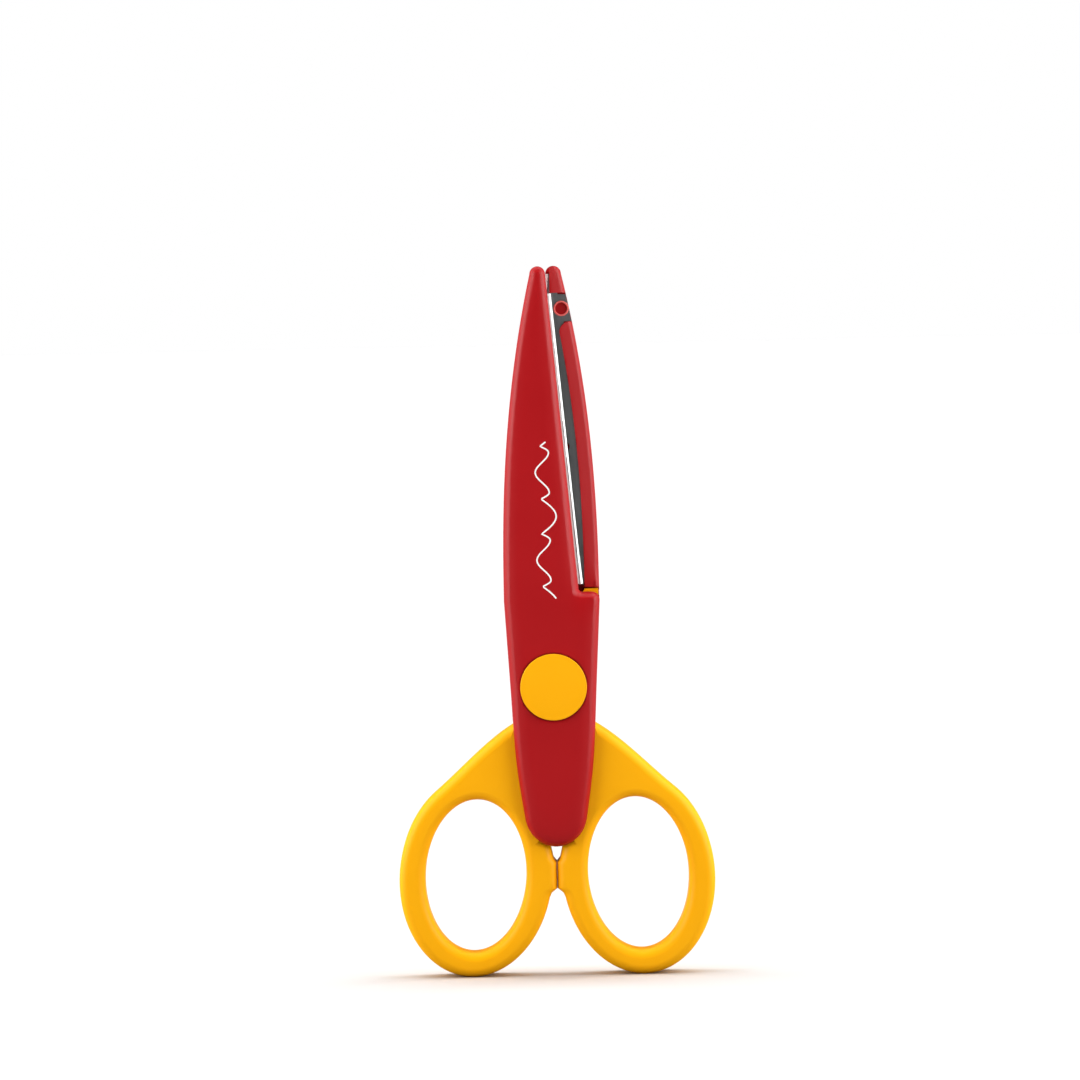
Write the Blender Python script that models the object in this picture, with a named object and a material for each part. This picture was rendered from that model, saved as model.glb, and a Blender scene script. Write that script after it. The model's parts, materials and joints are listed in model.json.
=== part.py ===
"""Decorative edge scissors: two moulded arms that each carry a folded steel blade with a wavy edge.

Both arms are alike, apart from the blade's wave. They are modelled in the same arm frame and
the rear arm is turned half a turn about the tool's long axis. In the arm frame the pivot axis
is the Y axis, Z runs to the tip, the spine is on the -X side and the cutting edge on the +X
side. "Depth" is -Y: 0 is the plane where the arms meet, and it grows towards the outer face.
Sizes are in metres.
"""

import math

import bmesh
import bpy
from mathutils import Matrix, Vector

# Overall sizes, from the pivot axis.
TIP_REACH = 0.0797
TAIL_REACH = 0.0306
LOOP_DROP = 0.0361

# Finger loops.
HOLE_WIDTH = 0.0192
HOLE_HEIGHT = 0.0293
RIM_WIDTH = 0.00495
RIM_BELOW = 0.00464
RIM_THICKNESS = 0.0076
RIM_ROUND = 0.0017
RIM_TO_MIDDLE = 0.00095
LOOP_SPLAY = math.radians(5.7)
HOLE_SPLAY = math.radians(3.35)
STOP_LENGTH = 0.0051
STOP_NECK = 0.00062

# Hub and tail of the moulded body, as half widths at heights from the pivot.
SHOULDER_HEIGHT = 0.0178
SHOULDER_HALF_WIDTH = 0.0091
PIVOT_HALF_WIDTH = 0.0082
WAIST_DROP = 0.0140
WAIST_HALF_WIDTH = 0.0074
TAIL_END_HALF_WIDTH = 0.0060
TAIL_END_HEIGHT = 0.0066
SHOULDER_CORNER = 0.0015
NOTCH_CORNER = 0.0007

# Blade half of the moulded body.
TIP_RADIUS = 0.0015
SPINE_CURVE = 2.3
RIB_WIDTH = 0.0028
RIB_CORNER = 0.0020
TIP_BLOCK_HEIGHT = 0.0051
TIP_BLOCK_TO_MIDDLE = 0.00075
WINDOW_HEIGHT = 0.0055

# Cutting edge, as distances from the middle plane when the scissors are closed.
EDGE_AT_HEEL = 0.0060
EDGE_AT_TIP = 0.00095
EDGE_SHOWN_AT_HEEL = 0.00100
EDGE_SHOWN_AT_TIP = 0.00065

# Steel.
SHEET = 0.0006
FLANGE = 0.0007
FOLD_RADIUS = 0.0006
WAVE_LENGTH = 0.0166
WAVE_HEIGHT = 0.0038
SHEAR_GAP = 0.0003

# Depths of the moulded pieces.
BODY_DEPTH = 0.0061
BODY_ROUND = 0.0013
TIP_THINNING = 0.0012
BODY_WALL = 0.0013
FACE_WALL = 0.0016
CORE_BAND = 0.0016
INNER_FACE = 0.0004

# Pivot.
RIVET_RADIUS = 0.0020
RIVET_HEAD_RADIUS = 0.0030
RIVET_HEAD_HEIGHT = 0.0010
RIVET_BORE = 0.0012
CAP_RADIUS = 0.0063
CAP_PROUD = 0.0008
CAP_RECESS = 0.0003
CAP_PEG_RADIUS = 0.0009
WASHER_RADIUS = 0.0060
THRUST_WASHER = 0.0004
WAVE_WASHER = 0.00025
WAVE_WASHER_LIFT = 0.00015
BURR_WASHER = 0.0004

# Pins that hold the blade, and posts that hold the body on the core.
PIN_RADIUS = 0.0010
PIN_HEAD_RADIUS = 0.00146
PIN_HEAD_HEIGHT = 0.0004
PIN_DEEP = 0.0015
POST_RADIUS = 0.0012
POST_ACROSS = 0.0048
POST_HEIGHT = 0.0105
TAIL_POST_DROP = 0.0195

# Clearances: between touching pieces, around the rivet, and beyond a cut.
GAP = 0.0003
RUNNING = 0.0001
THIN_GAP = 0.0002
BEYOND = 0.0020

# How finely round shapes are drawn.
LOOP_STEPS = 44
ROUND_STEPS = 28
CURVE_STEPS = 3
BLADE_STEP = 0.0008

# Sizes that follow from the ones above.
LOOP_OFFSET = HOLE_WIDTH / 2 + RIM_WIDTH + RIM_TO_MIDDLE
LOOP_RADII = (HOLE_WIDTH / 2 + RIM_WIDTH, HOLE_HEIGHT / 2 + RIM_BELOW)
LOOP_REACH = math.hypot(LOOP_RADII[0] * math.sin(LOOP_SPLAY), LOOP_RADII[1] * math.cos(LOOP_SPLAY))
PIVOT_HEIGHT = LOOP_DROP + LOOP_REACH
WEB_INNER = WAVE_HEIGHT / 2 + SHEAR_GAP / 2
WEB_OUTER = WEB_INNER + SHEET
PLATE_INNER = WEB_OUTER + GAP
LIP_INNER = WEB_INNER - GAP
BAND_OUTER = INNER_FACE + CORE_BAND
WALL_INNER = BAND_OUTER + GAP
POCKET_FLOOR = BODY_DEPTH - FACE_WALL
ISLAND_OUTER = POCKET_FLOOR - GAP
TAIL_INNER = RIM_THICKNESS / 2 + GAP
COUNTERBORE_RADIUS = RIVET_HEAD_RADIUS + 2 * GAP
COUNTERBORE_FLOOR = ISLAND_OUTER - RIVET_HEAD_HEIGHT - GAP
WAVE_WASHER_MIDDLE = -COUNTERBORE_FLOOR - THIN_GAP - WAVE_WASHER / 2 - WAVE_WASHER_LIFT
BURR_INNER = WAVE_WASHER_MIDDLE - WAVE_WASHER / 2 - WAVE_WASHER_LIFT - THIN_GAP
BURR_OUTER = BURR_INNER - BURR_WASHER
WINDOW_TOP = TIP_REACH - TIP_BLOCK_HEIGHT
WINDOW_BOTTOM = WINDOW_TOP - WINDOW_HEIGHT
RIB_BOTTOM = SHOULDER_HEIGHT + 0.0007
HEEL = RIB_BOTTOM + 0.0008
EDGE_TOP = WINDOW_TOP - 0.0001
WEB_TOP = TIP_REACH - TIP_RADIUS
DEEP_WALL_BOTTOM = -0.0065
LOOP_CORNER_HEIGHT = DEEP_WALL_BOTTOM - 0.0011


# ---------------------------------------------------------------- outlines


def through(points, steps=CURVE_STEPS):
    """A smooth open curve through the points (Catmull-Rom)."""
    padded = [points[0], *points, points[-1]]
    curve = []
    for a, b, c, d in zip(padded, padded[1:], padded[2:], padded[3:]):
        for k in range(steps):
            t = k / steps
            curve.append(
                tuple(
                    0.5
                    * (
                        2 * b[i]
                        + (c[i] - a[i]) * t
                        + (2 * a[i] - 5 * b[i] + 4 * c[i] - d[i]) * t**2
                        + (3 * b[i] - a[i] - 3 * c[i] + d[i]) * t**3
                    )
                    for i in (0, 1)
                )
            )
    return [*curve, points[-1]]


def arc(centre, radius, start, end, steps):
    """Points on a circle or, with two radii, an ellipse, from one angle to another in degrees."""
    rx, rz = radius if isinstance(radius, tuple) else (radius, radius)
    angles = [math.radians(start + (end - start) * k / steps) for k in range(steps + 1)]
    return [(centre[0] + rx * math.cos(a), centre[1] + rz * math.sin(a)) for a in angles]


def mirrored(points):
    """The points with X reversed, in the opposite order."""
    return [(-x, z) for x, z in reversed(points)]


def lower_side():
    """The right side of hub and tail, from the bottom of the tail up to the shoulder."""
    centre = (0, TAIL_END_HEIGHT - TAIL_REACH)
    end = arc(centre, (TAIL_END_HALF_WIDTH, TAIL_END_HEIGHT), -90, -12, 5)
    above = [
        (WAIST_HALF_WIDTH, -WAIST_DROP),
        (PIVOT_HALF_WIDTH, 0),
        (SHOULDER_HALF_WIDTH, SHOULDER_HEIGHT - SHOULDER_CORNER),
    ]
    return end[:-2] + through(end[-2:] + above)[CURVE_STEPS:]


def half_width(height):
    """Half the width of hub and tail at a height."""
    side = lower_side()
    for (x0, z0), (x1, z1) in zip(side, side[1:]):
        if z0 <= height <= z1:
            return x0 + (x1 - x0) * (height - z0) / (z1 - z0)
    return side[-1][0]


def edge_x(height):
    """The outer face of the folded cutting edge."""
    t = (height - HEEL) / (EDGE_TOP - HEEL)
    return EDGE_AT_HEEL + (EDGE_AT_TIP - EDGE_AT_HEEL) * t


def body_edge_x(height):
    """The edge of the moulded body beside the cutting edge, which leaves a strip of steel showing."""
    t = (height - HEEL) / (EDGE_TOP - HEEL)
    shown = EDGE_SHOWN_AT_HEEL + (EDGE_SHOWN_AT_TIP - EDGE_SHOWN_AT_HEEL) * t
    return edge_x(height) - shown


def spine_x(height):
    """How far the spine stands from the middle plane above the shoulder."""
    tip_centre = TIP_REACH - TIP_RADIUS
    at_tip = 2 * TIP_RADIUS - body_edge_x(tip_centre)
    t = max(0, (height - SHOULDER_HEIGHT) / (tip_centre - SHOULDER_HEIGHT))
    return SHOULDER_HALF_WIDTH - (SHOULDER_HALF_WIDTH - at_tip) * t**SPINE_CURVE


def spine(bottom, top, inset=0.0, steps=10):
    """Points along the spine, from bottom to top, inset towards the middle."""
    heights = [bottom + (top - bottom) * k / steps for k in range(steps + 1)]
    return [(inset - spine_x(z), z) for z in heights]


def body_outline():
    """The moulded body seen from outside: tail, shoulder, notch, cutting side, tip and spine."""
    right = lower_side()
    shoulder_centre = (right[-1][0] - SHOULDER_CORNER, SHOULDER_HEIGHT - SHOULDER_CORNER)
    shoulder = arc(shoulder_centre, SHOULDER_CORNER, 0, 90, 4)[1:]
    notch_x = body_edge_x(SHOULDER_HEIGHT)
    notch_centre = (notch_x + NOTCH_CORNER, SHOULDER_HEIGHT + NOTCH_CORNER)
    notch = arc(notch_centre, NOTCH_CORNER, 270, 180, 3)
    tip_height = TIP_REACH - TIP_RADIUS
    tip_x = body_edge_x(tip_height) - TIP_RADIUS
    tip = arc((tip_x, tip_height), TIP_RADIUS, 0, 180, 8)
    back = list(reversed(spine(SHOULDER_HEIGHT, tip_height)))[1:]
    left = list(reversed(mirrored(right)))[:-1]
    return right + shoulder + notch + tip + back + list(reversed(left))[:-1]


def wave(distance):
    """Where the cut runs in Y at a distance from the pivot axis.

    Each length of the wave is a large hump with, on both sides, a notch, a small peak and a hollow.
    """
    half = WAVE_LENGTH / 2
    u = abs((distance + half) % WAVE_LENGTH - half) / half
    low, notch, peak, high = -0.5, -0.24, 0.18, 0.5
    notch_at, peak_at = 0.40, 0.54
    if u < notch_at:
        y = notch + (high - notch) * math.cos(math.pi / 2 * u / notch_at)
    elif u < peak_at:
        climb = (u - notch_at) / (peak_at - notch_at)
        y = notch + (peak - notch) * math.sin(math.pi / 2 * climb)
    else:
        middle, swing = (peak + low) / 2, (peak - low) / 2
        y = middle + swing * math.cos(math.pi * (u - peak_at) / (1 - peak_at))
    return WAVE_HEIGHT * y


# ---------------------------------------------------------------- building


def clear_scene():
    for obj in list(bpy.data.objects):
        bpy.data.objects.remove(obj)


def make_material(name, colour, roughness, metallic=0.0):
    material = bpy.data.materials.new(name)
    material.use_nodes = True
    shader = material.node_tree.nodes["Principled BSDF"]
    shader.inputs["Base Color"].default_value = (*colour, 1)
    shader.inputs["Roughness"].default_value = roughness
    shader.inputs["Metallic"].default_value = metallic
    return material


def make_object(name, mesh_data, parent, material=None):
    """Turns a bmesh into an object in its arm's frame, with faces pointing out."""
    bmesh.ops.recalc_face_normals(mesh_data, faces=mesh_data.faces)
    mesh = bpy.data.meshes.new(name)
    mesh_data.to_mesh(mesh)
    mesh_data.free()
    mesh.shade_smooth()
    mesh.set_sharp_from_angle(angle=math.radians(35))
    if material:
        mesh.materials.append(material)
    obj = bpy.data.objects.new(name, mesh)
    bpy.context.scene.collection.objects.link(obj)
    obj.parent = parent
    return obj


def make_cutter(name, mesh_data, parent):
    cutter = make_object(name, mesh_data, parent)
    cutter.hide_render = True
    cutter.display_type = "WIRE"
    return cutter


def plate(outline, inner, outer):
    """A bmesh of the outline between two depths. Returns the bmesh and the outer face."""
    mesh = bmesh.new()
    corners = [mesh.verts.new((x, -inner, z)) for x, z in outline]
    face = mesh.faces.new(corners)
    raised = bmesh.ops.extrude_face_region(mesh, geom=[face])["geom"]
    moved = [item for item in raised if isinstance(item, bmesh.types.BMVert)]
    bmesh.ops.translate(mesh, verts=moved, vec=(0, inner - outer, 0))
    top = next(item for item in raised if isinstance(item, bmesh.types.BMFace))
    bmesh.ops.recalc_face_normals(mesh, faces=mesh.faces)
    return mesh, top


def block(x_range, z_range, inner, outer):
    """A bmesh of a rectangular plate."""
    (x0, x1), (z0, z1) = x_range, z_range
    return plate([(x0, z0), (x1, z0), (x1, z1), (x0, z1)], inner, outer)[0]


def turned(profile, at=(0, 0), steps=ROUND_STEPS):
    """A bmesh turned about an axis along Y, from a closed profile of (radius, depth) points."""
    mesh = bmesh.new()
    corners = [mesh.verts.new((r, -depth, 0)) for r, depth in profile]
    pairs = zip(corners, corners[1:] + corners[:1])
    edges = [mesh.edges.new(pair) for pair in pairs if pair[0].co.x or pair[1].co.x]
    bmesh.ops.spin(
        mesh,
        geom=corners + edges,
        cent=(0, 0, 0),
        axis=(0, 1, 0),
        angle=2 * math.pi,
        steps=steps,
        use_merge=True,
    )
    bmesh.ops.remove_doubles(mesh, verts=mesh.verts, dist=1e-6)
    bmesh.ops.dissolve_degenerate(mesh, edges=mesh.edges, dist=1e-7)
    bmesh.ops.translate(mesh, verts=mesh.verts, vec=(at[0], 0, at[1]))
    return mesh


def round_bar(radius, inner, outer, at=(0, 0), steps=ROUND_STEPS):
    """A bmesh of a solid cylinder between two depths."""
    return turned([(0, inner), (radius, inner), (radius, outer), (0, outer)], at, steps)


def boolean(obj, operation, other):
    modifier = obj.modifiers.new(f"{operation.lower()}_{other.name}", "BOOLEAN")
    modifier.operation = operation
    modifier.solver = "EXACT"
    modifier.object = other


def cut(obj, label, mesh_data):
    boolean(obj, "DIFFERENCE", make_cutter(f"{obj.name}_{label}", mesh_data, obj.parent))


def join(obj, label, mesh_data):
    boolean(obj, "UNION", make_cutter(f"{obj.name}_{label}", mesh_data, obj.parent))


# ---------------------------------------------------------------- moulded body


def rib_inner(bottom, top, steps=10):
    """The inner side of the rib, with a rounded corner at its top."""
    line = spine(bottom, top - RIB_CORNER, RIB_WIDTH, steps)
    corner_x, corner_z = line[-1]
    corner = arc((corner_x - RIB_CORNER, corner_z), RIB_CORNER, 0, 90, 4)
    return line + corner[1:]


def body_blank():
    """The body's outer shape: full depth, rounded outer edge, thinner towards the tip."""
    mesh, top = plate(body_outline(), INNER_FACE, BODY_DEPTH)
    rim = list(top.edges)
    bmesh.ops.bevel(mesh, geom=rim, offset=BODY_ROUND, segments=3, profile=0.5, affect="EDGES")
    thin_from = SHOULDER_HEIGHT - SHOULDER_CORNER
    everything = mesh.verts[:] + mesh.edges[:] + mesh.faces[:]
    bmesh.ops.bisect_plane(mesh, geom=everything, plane_co=(0, 0, thin_from), plane_no=(0, 0, 1))
    for vert in mesh.verts:
        rise = (vert.co.z - thin_from) / (TIP_REACH - thin_from)
        outward = (-vert.co.y - PLATE_INNER) / (BODY_DEPTH - PLATE_INNER)
        vert.co.y += TIP_THINNING * max(0, rise) * max(0, outward)
    return mesh


def make_body(name, arm, material):
    body = make_object(name, body_blank(), arm, material)
    far = 2 * SHOULDER_HALF_WIDTH
    inside = INNER_FACE - BEYOND

    below_core = (-far, far), (-TAIL_REACH - BEYOND, DEEP_WALL_BOTTOM)
    cut(body, "tail_relief", block(*below_core, inside, TAIL_INNER))
    beside_core = (-far, far), (DEEP_WALL_BOTTOM - BEYOND, RIB_BOTTOM)
    cut(body, "core_relief", block(*beside_core, inside, WALL_INNER))
    cut(body, "core_pocket", plate(island_outline(GAP), inside, POCKET_FLOOR)[0])

    rib_side = rib_inner(RIB_BOTTOM - BEYOND, WINDOW_BOTTOM)
    past_rib = [(-far, WINDOW_BOTTOM), (-far, WINDOW_TOP)]
    tip_side = [(-TIP_BLOCK_TO_MIDDLE, WINDOW_TOP), (-TIP_BLOCK_TO_MIDDLE, TIP_REACH + BEYOND)]
    cutting_side = [(far, TIP_REACH + BEYOND), (far, RIB_BOTTOM - BEYOND)]
    open_side = rib_side + past_rib + tip_side + cutting_side
    cut(body, "blade_relief", plate(open_side, inside, LIP_INNER + GAP / 2)[0])
    cut(body, "blade_slot", plate(web_slot_outline(), LIP_INNER, PLATE_INNER)[0])

    recess = BODY_DEPTH - CAP_RECESS
    cut(body, "cap_recess", round_bar(CAP_RADIUS + GAP, recess, BODY_DEPTH + BEYOND))
    cut(body, "rivet_opening", round_bar(COUNTERBORE_RADIUS + GAP, INNER_FACE, BODY_DEPTH))
    for label, at, _ in blade_pins():
        socket = round_bar(PIN_RADIUS + THIN_GAP, LIP_INNER, PLATE_INNER + PIN_DEEP, at, 12)
        cut(body, f"{label}_socket", socket)
    for label, at, end in core_posts():
        join(body, f"{label}_post", round_bar(POST_RADIUS, end, POCKET_FLOOR + 2 * GAP, at, 12))
    return body


def web_slot_outline():
    """The slot that takes the blade's flat, open at the cutting side and at the window."""
    far = 2 * SHOULDER_HALF_WIDTH
    low = spine(RIB_BOTTOM - GAP, WINDOW_BOTTOM - GAP, BODY_WALL, 9)
    window = [(-far, WINDOW_BOTTOM - GAP), (-far, WINDOW_TOP)]
    tip = spine(WINDOW_TOP, WEB_TOP + GAP, BODY_WALL, 2)
    edge = [(far, WEB_TOP + GAP), (far, RIB_BOTTOM - GAP)]
    return low + window + tip + edge


# ---------------------------------------------------------------- handle


def island_outline(grow=0.0):
    """The raised part of the core that fills the body's pocket."""
    inset = BODY_WALL + GAP - grow
    top = SHOULDER_HEIGHT - BODY_WALL - GAP + grow
    bottom = DEEP_WALL_BOTTOM + BODY_WALL + GAP - grow
    heights = [bottom + (top - bottom) * k / 4 for k in range(5)]
    side = [(half_width(z) - inset, z) for z in heights]
    return side + list(mirrored(side))


def core_outline():
    """The thin full-width layer of the core, seen between the two bodies from the side."""
    inset = THIN_GAP
    heights = [DEEP_WALL_BOTTOM - 3 * GAP, 0.0, 0.0080, SHOULDER_HEIGHT - SHOULDER_CORNER]
    right = [(half_width(z) - inset, z) for z in heights]
    corner_x = right[-1][0] - SHOULDER_CORNER
    corner = arc((corner_x, right[-1][1]), (SHOULDER_CORNER, SHOULDER_CORNER - inset), 0, 90, 4)[1:]
    top = [(-EDGE_AT_HEEL, corner[-1][1]), (-EDGE_AT_HEEL - GAP, RIB_BOTTOM - GAP)]
    left = [(-right[-1][0], RIB_BOTTOM - GAP)] + [(-x, z) for x, z in reversed(right)]
    return right + corner + top + left


def tang_outline():
    """The part of the handle that runs from the core, under the tail, into the loop."""
    wide = DEEP_WALL_BOTTOM - GAP
    inner = half_width(wide) - BODY_WALL
    bottom = -TAIL_REACH
    loop_x, loop_z = LOOP_OFFSET, -LOOP_DROP
    loop_top = loop_z + HOLE_HEIGHT / 2 + RIM_WIDTH
    right = [(inner, wide), (loop_x - HOLE_WIDTH / 4, loop_top)]
    into_loop = [
        (loop_x - HOLE_WIDTH * 0.42, loop_z + HOLE_HEIGHT * 0.42),
        (RIM_TO_MIDDLE + RIM_WIDTH * 0.7, bottom),
    ]
    middle = [(RIM_TO_MIDDLE + RIM_ROUND, bottom + GAP), (RIM_TO_MIDDLE, bottom + RIM_ROUND)]
    left = [(-inner * 0.45, -WAIST_DROP - RIM_WIDTH), (-inner, wide)]
    return right + into_loop + middle + left


def turn_about_loop(points, angle):
    """The points of a loop turned about its centre."""
    turn = Matrix.Rotation(angle, 2)
    centre = Vector((LOOP_OFFSET, -LOOP_DROP))
    return [tuple(centre + turn @ (Vector(p) - centre)) for p in points]


def stop_outline():
    """The pad that meets its neighbour when the scissors close, from under the tail down."""
    top, bottom = -LOOP_DROP + STOP_LENGTH / 2, -LOOP_DROP - STOP_LENGTH / 2
    under_tail = [
        (RIM_TO_MIDDLE + 1.5 * GAP, -TAIL_REACH + 0.8 * GAP),
        (RIM_TO_MIDDLE + 0.65 * GAP, -TAIL_REACH),
    ]
    pad = [(STOP_NECK, top + STOP_NECK), (GAP / 2, top), (GAP / 2, bottom)]
    return under_tail + pad + [(RIM_TO_MIDDLE + GAP / 2, bottom - RIM_TO_MIDDLE)]


def loop_outline():
    """The finger loop with its web: along the tail, down the middle side, round the loop, back up."""
    centre = (LOOP_OFFSET, -LOOP_DROP)
    ring = turn_about_loop(arc(centre, LOOP_RADII, 180, 540, LOOP_STEPS), LOOP_SPLAY)
    tail_round = -TAIL_REACH + TAIL_END_HEIGHT
    tail_low = -TAIL_REACH + TAIL_END_HEIGHT / 3
    heights = [LOOP_CORNER_HEIGHT, -WAIST_DROP, (tail_round - WAIST_DROP) / 2, tail_round, tail_low]
    inner_side = [(half_width(z) - GAP, z) for z in heights] + stop_outline()
    corner = Vector(inner_side[0])

    def bearing(k):
        return math.atan2(ring[k][1] - corner.y, ring[k][0] - corner.x)

    leaves = min(k for k in range(LOOP_STEPS // 2) if ring[k][1] < inner_side[-1][1] - GAP)
    touches = max(range(LOOP_STEPS // 2, LOOP_STEPS), key=bearing)
    return inner_side + ring[leaves : touches + 1]


def hole_outline():
    centre = (LOOP_OFFSET, -LOOP_DROP)
    ring = arc(centre, (HOLE_WIDTH / 2, HOLE_HEIGHT / 2), 0, 360, LOOP_STEPS)[:-1]
    return turn_about_loop(ring, HOLE_SPLAY)


def loop_blank():
    """The loop's full-thickness plate with its hole, all edges of the rim rounded."""
    half = RIM_THICKNESS / 2
    mesh = bmesh.new()
    rings = []
    for outline in (loop_outline(), hole_outline()):
        corners = [mesh.verts.new((x, half, z)) for x, z in outline]
        rings += [mesh.edges.new(pair) for pair in zip(corners, corners[1:] + corners[:1])]
    bmesh.ops.triangle_fill(mesh, edges=rings, use_beauty=True)
    raised = bmesh.ops.extrude_face_region(mesh, geom=mesh.faces[:])["geom"]
    moved = [item for item in raised if isinstance(item, bmesh.types.BMVert)]
    bmesh.ops.translate(mesh, verts=moved, vec=(0, -RIM_THICKNESS, 0))
    bmesh.ops.recalc_face_normals(mesh, faces=mesh.faces)
    rim = []
    for edge in mesh.edges:
        across = sum(abs(f.normal.y) > 0.9 for f in edge.link_faces) == 1
        middle = (edge.verts[0].co + edge.verts[1].co) / 2
        beside_tail = middle.z > -TAIL_REACH and middle.x < half_width(middle.z)
        if across and not beside_tail:
            rim.append(edge)
    bmesh.ops.bevel(
        mesh, geom=rim, offset=RIM_ROUND, segments=3, profile=0.5, affect="EDGES"
    )
    return mesh


def make_handle(name, arm, material):
    handle = make_object(name, loop_blank(), arm, material)
    tang_outer = RIM_THICKNESS / 2 - GAP / 2
    join(handle, "tang", plate(tang_outline(), INNER_FACE + GAP / 2, tang_outer)[0])
    join(handle, "island", plate(island_outline(), INNER_FACE + GAP, ISLAND_OUTER)[0])
    join(handle, "core", plate(core_outline(), INNER_FACE, BAND_OUTER)[0])
    cut(handle, "bore", round_bar(RIVET_RADIUS + RUNNING, -BEYOND, BODY_DEPTH))
    cut(handle, "counterbore", round_bar(COUNTERBORE_RADIUS, COUNTERBORE_FLOOR, BODY_DEPTH))
    for label, at, end in core_posts():
        cut(handle, f"{label}_hole", round_bar(POST_RADIUS + GAP, end - GAP, BODY_DEPTH, at, 12))
    return handle


def core_posts():
    """Name, place and lower end of each post that holds the body on the handle."""
    return [
        ("left", (-POST_ACROSS, POST_HEIGHT), INNER_FACE + CORE_BAND / 2),
        ("right", (POST_ACROSS, POST_HEIGHT), INNER_FACE + CORE_BAND / 2),
        ("tail", (0, -TAIL_POST_DROP), INNER_FACE + CORE_BAND / 2),
    ]


# ---------------------------------------------------------------- blade


def blade_heights():
    """Heights of the blade's sections, with a pair wherever its width steps."""
    count = round((WEB_TOP - HEEL) / BLADE_STEP)
    even = [HEEL + (WEB_TOP - HEEL) * k / count for k in range(count + 1)]
    nudge = BLADE_STEP / 40
    steps = [WINDOW_BOTTOM, WINDOW_TOP - GAP]
    kept = [z for z in even if all(abs(z - s) > BLADE_STEP / 3 for s in steps)]
    return sorted(kept + [s + side for s in steps for side in (-nudge, nudge)])


def web_spine_x(height):
    """Where the flat of the blade ends on the spine side."""
    in_window = WINDOW_BOTTOM < height < WINDOW_TOP - GAP
    inset = THIN_GAP / 2 if in_window else BODY_WALL + GAP
    return inset - spine_x(height)


def blade_section(height, side):
    """(x, depth) points round the folded sheet at a height: flat, fold, and the flange's cut edge."""
    edge = edge_x(height)

    def free(x):
        return -(side * wave(math.hypot(x, height)) - SHEAR_GAP / 2)

    back = web_spine_x(height)
    inner = edge - FLANGE
    fold_centre = (edge - FOLD_RADIUS, WEB_OUTER - FOLD_RADIUS)
    fold = arc(fold_centre, FOLD_RADIUS, 90, 0, 3)
    outside = [(back, WEB_OUTER), *fold, (edge, free(edge))]
    inside = [(inner, free(inner)), (inner, WEB_INNER), (back, WEB_INNER)]
    return outside + inside


def blade_blank(side):
    mesh = bmesh.new()
    rows = []
    for height in blade_heights():
        points = blade_section(height, side)
        rows.append([mesh.verts.new((x, -depth, height)) for x, depth in points])
    for low, high in zip(rows, rows[1:]):
        count = len(low)
        for k in range(count):
            n = (k + 1) % count
            mesh.faces.new((low[k], low[n], high[n], high[k]))
    mesh.faces.new(rows[0])
    mesh.faces.new(rows[-1])
    return mesh


def blade_pins():
    """Name, place in the arm frame, and whether it has a head, of each pin that holds the blade."""
    tip_pin = WINDOW_BOTTOM + WINDOW_HEIGHT * 0.45
    tip_x = -(spine_x(tip_pin) + EDGE_AT_TIP) / 2 - THIN_GAP
    middle = HEEL + (WINDOW_BOTTOM - HEEL) * 0.52
    low = HEEL + (WINDOW_BOTTOM - HEEL) * 0.12
    return [
        ("tip_pin", (tip_x, tip_pin), True),
        ("middle_pin", (-RIB_WIDTH, middle), False),
        ("heel_pin", (-RIB_WIDTH, low), False),
    ]


def make_blade(name, arm, material, side):
    """side is 1 on the front blade and -1 on the rear one, where the arm frame faces the other way."""
    blade = make_object(name, blade_blank(side), arm, material)
    beyond_edge = (0, RIB_WIDTH), (EDGE_TOP, TIP_REACH + BEYOND)
    cut(blade, "edge_end", block(*beyond_edge, -WEB_OUTER, BODY_DEPTH))
    for label, at, _ in blade_pins():
        cut(blade, f"{label}_hole", round_bar(PIN_RADIUS + THIN_GAP, WEB_INNER - GAP, BODY_DEPTH, at, 12))
    return blade


def make_pin(name, arm, material, at, has_head):
    """A pin pressed into the body through the blade, with a dished head or ending flush."""
    deep = PLATE_INNER + PIN_DEEP - GAP
    if has_head:
        under = WEB_INNER - THIN_GAP
        top = under - PIN_HEAD_HEIGHT
        dish = PIN_HEAD_RADIUS * 0.78
        dish_floor = top + GAP / 2
        profile = [
            (0, deep),
            (PIN_RADIUS, deep),
            (PIN_RADIUS, under),
            (PIN_HEAD_RADIUS, under),
            (PIN_HEAD_RADIUS, dish_floor),
            (PIN_HEAD_RADIUS * 0.9, top),
            (dish, top),
            (dish, dish_floor),
            (0, dish_floor),
        ]
        return make_object(name, turned(profile, at, 16), arm, material)
    pin = round_bar(PIN_RADIUS, WEB_INNER + THIN_GAP / 2, deep, at, 16)
    return make_object(name, pin, arm, material)


# ---------------------------------------------------------------- pivot


def make_cap(name, arm, material):
    """The round cap over the end of the rivet, held by a peg in the rivet's bore."""
    under = BODY_DEPTH - CAP_RECESS + GAP
    top = BODY_DEPTH + CAP_PROUD
    soft = (top - under) / 2
    rim = arc((CAP_RADIUS - soft, top - soft), soft, 0, 90, 3)
    peg_end = ISLAND_OUTER - RIVET_HEAD_HEIGHT
    peg = [(0, peg_end), (CAP_PEG_RADIUS, peg_end), (CAP_PEG_RADIUS, under)]
    profile = [*peg, (CAP_RADIUS, under), *rim, (0, top)]
    return make_object(name, turned(profile, steps=40), arm, material)


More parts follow.
